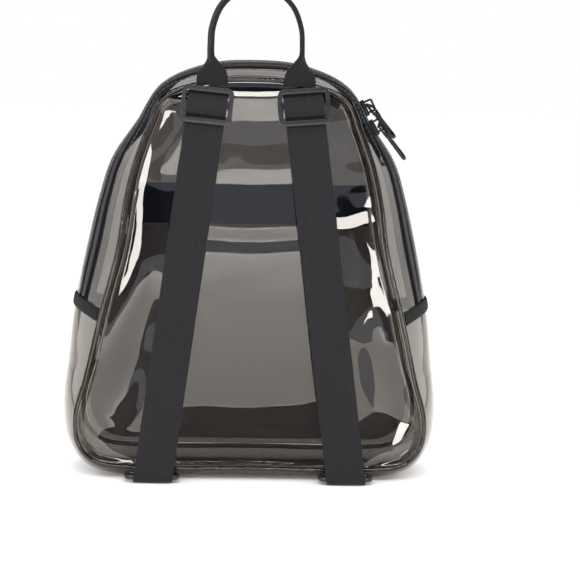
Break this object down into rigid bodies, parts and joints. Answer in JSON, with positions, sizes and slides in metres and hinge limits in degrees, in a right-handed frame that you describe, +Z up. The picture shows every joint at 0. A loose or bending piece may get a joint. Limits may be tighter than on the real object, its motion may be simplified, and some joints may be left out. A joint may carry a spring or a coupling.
{
  "type": "mini backpack",
  "caption": "Small dome-shaped backpack in clear smoke-grey vinyl with a zip arch, front pocket, haul handle and webbing shoulder straps.",
  "frame": {"origin": "on the floor under the middle of the standing bag", "axes": "+Z up; the back with the shoulder straps faces -Y and the front pocket +Y; +X is on the right of someone looking at the straps"},
  "size_m": [0.284, 0.1312, 0.3673],
  "materials": {
    "smoke_vinyl": "clear smoke-grey vinyl, polished",
    "vinyl_piping": "dark smoke vinyl, polished",
    "black_tape": "woven polyester tape",
    "zip_coil": "nylon coil",
    "dark_metal": "black enamel",
    "handle_webbing": "brown-black webbing",
    "strap_webbing": "ribbed charcoal webbing",
    "grey_plastic": "moulded charcoal plastic, satin"
  },
  "bodies": {
    "root": {"back_panel": "smoke_vinyl", "front_panel": "smoke_vinyl", "lower_gusset": "smoke_vinyl", "zip_gusset_back": "smoke_vinyl", "zip_gusset_front": "smoke_vinyl", "pocket_panel": "smoke_vinyl", "back_piping": "vinyl_piping", "front_piping": "vinyl_piping", "top_binding": "black_tape", "zip_tape": "black_tape", "zip_end_band_left": "black_tape", "zip_end_band_right": "black_tape", "pocket_zip_tape": "black_tape", "zip_coil": "zip_coil", "pocket_zip_coil": "zip_coil", "zip_slider_upper": "dark_metal", "zip_slider_lower": "dark_metal", "pocket_zip_slider": "dark_metal", "haul_handle": "handle_webbing", "strap_left": "strap_webbing", "strap_right": "strap_webbing", "ring_tab_left": "strap_webbing", "ring_tab_right": "strap_webbing", "slide_left": "grey_plastic", "slide_right": "grey_plastic", "ring_left": "grey_plastic", "ring_right": "grey_plastic"},
    "pull_upper": {"zip_pull_upper": "dark_metal"},
    "pull_lower": {"zip_pull_lower": "dark_metal"}
  },
  "joints": [
    {"name": "pull_upper_hinge", "type": "hinge", "parent": "root", "child": "pull_upper", "pos_m": [0.08559, -0.02683, 0.28042], "axis": [-0.5595, -0.8166, 0.1416], "range_deg": [0, 150]},
    {"name": "pull_lower_hinge", "type": "hinge", "parent": "root", "child": "pull_lower", "pos_m": [0.09272, -0.02719, 0.26637], "axis": [-0.1398, -0.9592, -0.2456], "range_deg": [0, 40]}
  ]
}
